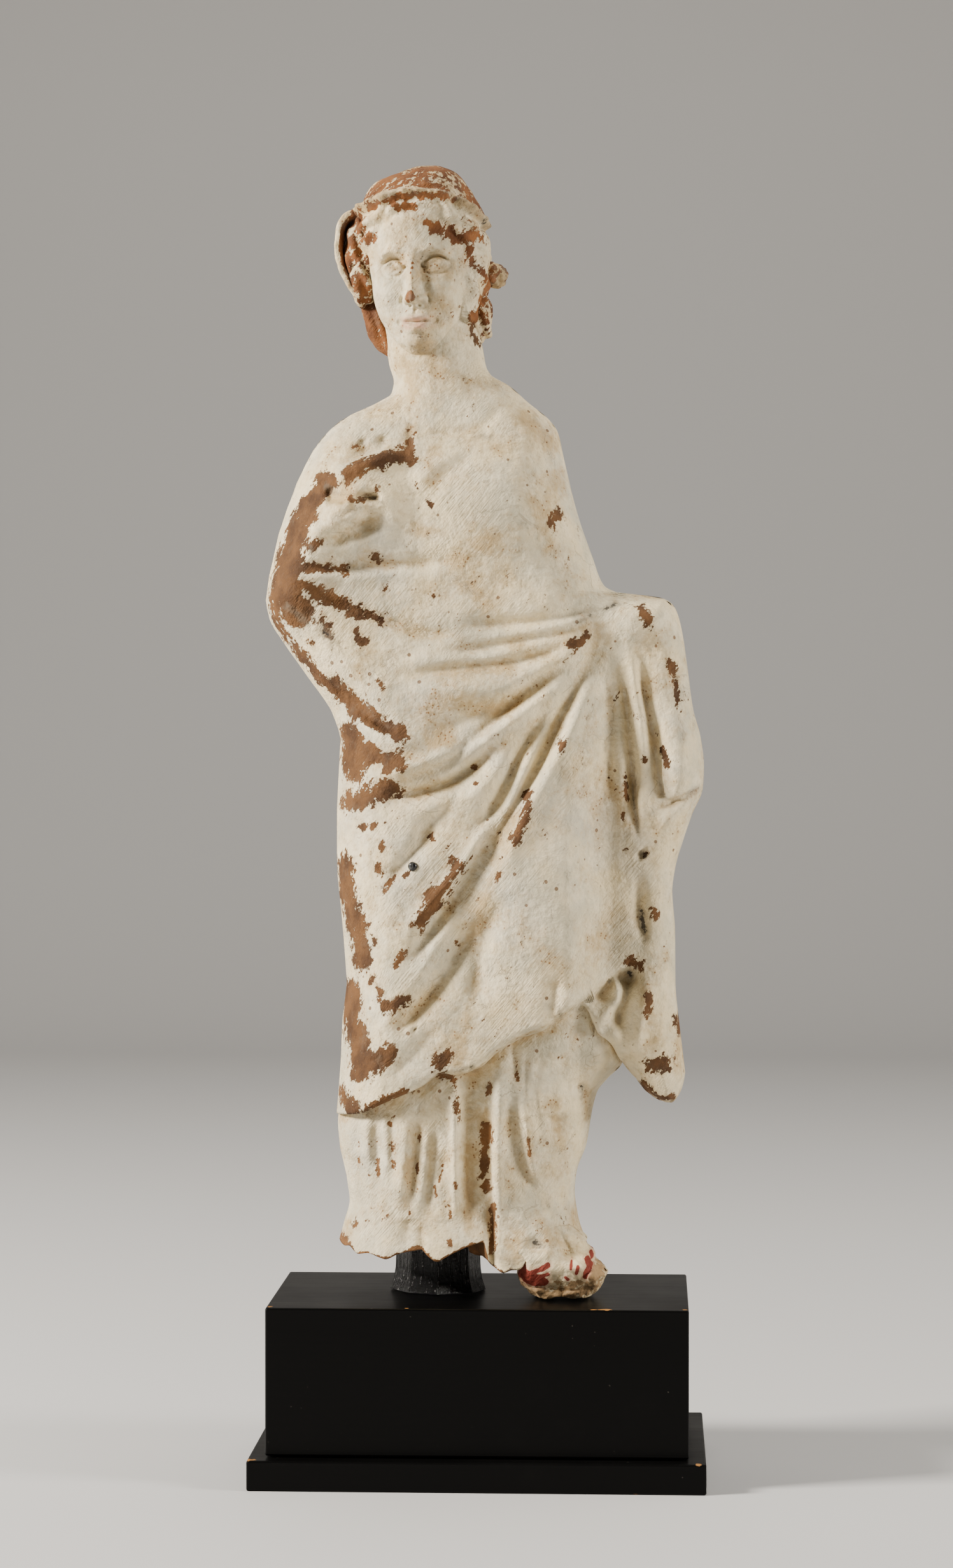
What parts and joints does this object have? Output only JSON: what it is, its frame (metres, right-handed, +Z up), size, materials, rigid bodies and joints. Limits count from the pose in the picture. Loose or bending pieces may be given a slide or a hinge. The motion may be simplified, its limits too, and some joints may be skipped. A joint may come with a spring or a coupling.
{
  "type": "draped terracotta figurine on plinth",
  "caption": "Standing woman in a wrapped cloak and tunic, moulded in slip-coated terracotta with worn patches, held by a post over a stepped black wooden plinth.",
  "frame": {"origin": "middle of the underside of the plinth board", "axes": "+Z up, +X to the viewer's right, +Y to the back"},
  "size_m": [0.0824, 0.0522, 0.2413],
  "materials": {
    "terracotta": "matt white slip, worn through to reddish brown clay",
    "lacquer": "black lacquer on wood, satin, rubbed at the edges",
    "post_paint": "black paint on carved wood"
  },
  "bodies": {
    "root": {"figurine": "terracotta", "support_post": "post_paint", "plinth_block": "lacquer", "plinth_board": "lacquer"}
  },
  "joints": []
}
